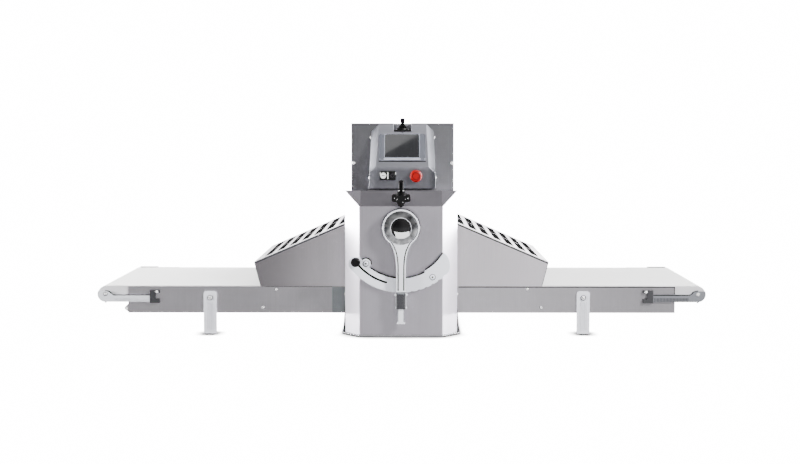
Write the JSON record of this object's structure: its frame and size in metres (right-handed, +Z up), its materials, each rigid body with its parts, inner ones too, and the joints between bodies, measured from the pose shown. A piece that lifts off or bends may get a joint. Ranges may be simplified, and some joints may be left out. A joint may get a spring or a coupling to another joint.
{
  "type": "tabletop dough sheeter",
  "caption": "Tabletop dough sheeter: central rollers set by a gap lever, a conveyor table and slotted guard on each side, folding legs and a rear control console.",
  "frame": {"origin": "on the bench, under the middle of the machine's bounding box", "axes": "+X along the tables to the viewer's right, +Y from the lever side to the console side, +Z up"},
  "size_m": [1.93, 0.946, 0.6838],
  "materials": {
    "plate_steel": "milled",
    "dark_plate": "brushed, dull",
    "brushed_stainless": "brushed",
    "sheet_steel": "plain",
    "bright_steel": "bright",
    "chromed_steel": "polished",
    "bearing_steel": "ground",
    "gear_steel": "oiled",
    "chain_steel": "oiled",
    "drum_steel": "turned",
    "cast_aluminium": "satin",
    "block_aluminium": "milled",
    "leg_aluminium": "satin",
    "motor_paint": "satin",
    "belt_fabric": "coated, matt",
    "scraper_plastic": "matt",
    "black_plastic": "fine grain",
    "grey_plastic": "fine grain",
    "frame_plastic": "frosted",
    "gloss_black": "polished",
    "white_plastic": "smooth",
    "button_black": "smooth",
    "red_plastic": "smooth",
    "display_glass": "polished, opaque with the screen off",
    "boot_rubber": "matt",
    "foot_rubber": "matt"
  },
  "bodies": {
    "frame": {"base_plate": "plate_steel", "feet": "foot_rubber", "side_plate_front": "plate_steel", "side_plate_rear": "dark_plate", "tie_rods": "bright_steel", "bearings": "bearing_steel", "slide_guides": "plate_steel", "front_cover": "brushed_stainless", "rear_cover": "brushed_stainless", "bridge_cover": "brushed_stainless", "hood_pins": "bright_steel", "arc_plate": "brushed_stainless", "screws": "bright_steel", "cable_inlet": "black_plastic", "table_rails": "brushed_stainless", "rail_brackets": "brushed_stainless", "table_beds": "sheet_steel", "conveyor_belts": "belt_fabric", "nose_cheeks": "brushed_stainless", "takeup_clips": "black_plastic", "scrapers_lower": "scraper_plastic", "gear_motor": "motor_paint", "drive_chains": "chain_steel", "control_unit": "black_plastic", "console_shell": "brushed_stainless", "display_frame": "frame_plastic", "display_glass": "display_glass", "switch_block": "black_plastic", "estop_collar": "black_plastic", "joystick_bases": "black_plastic"},
    "lever": {"gap_lever": "cast_aluminium", "lever_hub": "gloss_black", "lever_shaft": "bright_steel", "pinions": "gear_steel"},
    "trigger": {"lever_trigger": "grey_plastic"},
    "stop": {"stop_slide": "bright_steel"},
    "stop_grip": {"stop_knob": "black_plastic"},
    "carriage": {"bearing_blocks": "block_aluminium", "scrapers_upper": "scraper_plastic"},
    "upper_roller": {"roller_upper": "chromed_steel"},
    "lower_roller": {"roller_lower": "chromed_steel", "roller_lower_gears": "gear_steel"},
    "left_drum": {"drum_left": "drum_steel"},
    "right_drum": {"drum_right": "drum_steel"},
    "left_takeup": {"takeup_arms_left": "cast_aluminium"},
    "right_takeup": {"takeup_arms_right": "cast_aluminium"},
    "left_nose": {"nose_roller_left": "drum_steel"},
    "right_nose": {"nose_roller_right": "drum_steel"},
    "left_leg": {"leg_left": "leg_aluminium"},
    "right_leg": {"leg_right": "leg_aluminium"},
    "left_guard": {"hood_left": "brushed_stainless"},
    "right_guard": {"hood_right": "brushed_stainless"},
    "start": {"start_button": "white_plastic"},
    "stop_push": {"stop_button": "button_black"},
    "emergency_stop": {"estop_button": "red_plastic"},
    "front_joystick": {"stick_front": "boot_rubber"},
    "top_joystick": {"stick_top": "boot_rubber"},
    "motor_output": {"motor_sprocket": "gear_steel"},
    "jack": {"jack_shaft": "gear_steel"},
    "upper_drive": {"upper_chain": "chain_steel"}
  },
  "joints": [
    {"name": "gap_lever_turn", "type": "hinge", "parent": "frame", "child": "lever", "pos_m": [0, 0, 0.344], "axis": [0, 1, 0], "range_deg": [-48, 40]},
    {"name": "roller_lift", "type": "slide", "parent": "frame", "child": "carriage", "axis": [0, 0, 1], "range_m": [-0.0142, 0.017]},
    {"name": "trigger_pull", "type": "slide", "parent": "lever", "child": "trigger", "axis": [0, 0, -1], "range_m": [0, 0.008], "stiffness_N_per_m": 400},
    {"name": "stop_move", "type": "hinge", "parent": "frame", "child": "stop", "pos_m": [0, 0, 0.344], "axis": [0, 1, 0], "range_deg": [-38, 0]},
    {"name": "stop_knob_turn", "type": "hinge", "parent": "stop", "child": "stop_grip", "pos_m": [-0.14056, 0, 0.23808], "axis": [0, 1, 0], "range_deg": [0, 300]},
    {"name": "lower_roller_spin", "type": "hinge", "parent": "frame", "child": "lower_roller", "pos_m": [0, 0, 0.12], "axis": [0, 1, 0], "continuous": true},
    {"name": "upper_roller_spin", "type": "hinge", "parent": "carriage", "child": "upper_roller", "pos_m": [0, 0, 0.199], "axis": [0, 1, 0], "continuous": true},
    {"name": "jack_spin", "type": "hinge", "parent": "frame", "child": "jack", "pos_m": [0.1, 0, 0.199], "axis": [0, 1, 0], "continuous": true},
    {"name": "upper_drive_swing", "type": "hinge", "parent": "frame", "child": "upper_drive", "pos_m": [0.1, 0, 0.199], "axis": [0, 1, 0], "range_deg": [-8.2, 10]},
    {"name": "motor_output_spin", "type": "hinge", "parent": "frame", "child": "motor_output", "pos_m": [-0.08, 0, 0.33], "axis": [0, 1, 0], "continuous": true},
    {"name": "left_drum_spin", "type": "hinge", "parent": "frame", "child": "left_drum", "pos_m": [-0.07, 0, 0.122], "axis": [0, 1, 0], "continuous": true},
    {"name": "right_drum_spin", "type": "hinge", "parent": "frame", "child": "right_drum", "pos_m": [0.07, 0, 0.122], "axis": [0, 1, 0], "continuous": true},
    {"name": "left_takeup_move", "type": "slide", "parent": "frame", "child": "left_takeup", "axis": [1, 0, 0], "range_m": [0, 0.01]},
    {"name": "right_takeup_move", "type": "slide", "parent": "frame", "child": "right_takeup", "axis": [-1, 0, 0], "range_m": [0, 0.01]},
    {"name": "left_nose_spin", "type": "hinge", "parent": "left_takeup", "child": "left_nose", "pos_m": [-0.94, 0, 0.126], "axis": [0, 1, 0], "continuous": true},
    {"name": "right_nose_spin", "type": "hinge", "parent": "right_takeup", "child": "right_nose", "pos_m": [0.94, 0, 0.126], "axis": [0, 1, 0], "continuous": true},
    {"name": "left_leg_fold", "type": "hinge", "parent": "frame", "child": "left_leg", "pos_m": [-0.607, 0, 0.115], "axis": [0, -1, 0], "range_deg": [0, 90]},
    {"name": "right_leg_fold", "type": "hinge", "parent": "frame", "child": "right_leg", "pos_m": [0.577, 0, 0.115], "axis": [0, 1, 0], "range_deg": [0, 90]},
    {"name": "left_guard_lift", "type": "hinge", "parent": "frame", "child": "left_guard", "pos_m": [-0.17, 0, 0.35], "axis": [0, 1, 0], "range_deg": [0, 65]},
    {"name": "right_guard_lift", "type": "hinge", "parent": "frame", "child": "right_guard", "pos_m": [0.17, 0, 0.35], "axis": [0, -1, 0], "range_deg": [0, 65]},
    {"name": "start_press", "type": "slide", "parent": "frame", "child": "start", "axis": [0, 1, 0], "range_m": [0, 0.004], "stiffness_N_per_m": 500, "springref_m": -0.001},
    {"name": "stop_press", "type": "slide", "parent": "frame", "child": "stop_push", "axis": [0, 1, 0], "range_m": [0, 0.004], "stiffness_N_per_m": 500, "springref_m": -0.001},
    {"name": "emergency_stop_press", "type": "slide", "parent": "frame", "child": "emergency_stop", "axis": [0, 1, 0], "range_m": [0, 0.005]},
    {"name": "front_joystick_tilt", "type": "hinge", "parent": "frame", "child": "front_joystick", "pos_m": [0, -0.39363, 0.44158], "axis": [0, 0.8585, 0.5129], "range_deg": [-12, 12], "stiffness_Nm_per_rad": 0.4},
    {"name": "top_joystick_tilt", "type": "hinge", "parent": "frame", "child": "top_joystick", "pos_m": [0, 0.35613, 0.64857], "axis": [0, 0.9962, 0.0872], "range_deg": [-12, 12], "stiffness_Nm_per_rad": 0.4}
  ],
  "couplings": [
    {"joint": "roller_lift", "follows": "gap_lever_turn", "m_per_rad": -0.02},
    {"joint": "upper_drive_swing", "follows": "gap_lever_turn", "ratio": -0.2},
    {"joint": "upper_roller_spin", "follows": "lower_roller_spin", "ratio": -1},
    {"joint": "jack_spin", "follows": "lower_roller_spin", "ratio": -1},
    {"joint": "motor_output_spin", "follows": "lower_roller_spin", "ratio": 1.75},
    {"joint": "left_drum_spin", "follows": "lower_roller_spin", "ratio": 1.2941},
    {"joint": "right_drum_spin", "follows": "lower_roller_spin", "ratio": 1.2941},
    {"joint": "left_nose_spin", "follows": "lower_roller_spin", "ratio": 1.5222},
    {"joint": "right_nose_spin", "follows": "lower_roller_spin", "ratio": 1.5222}
  ]
}
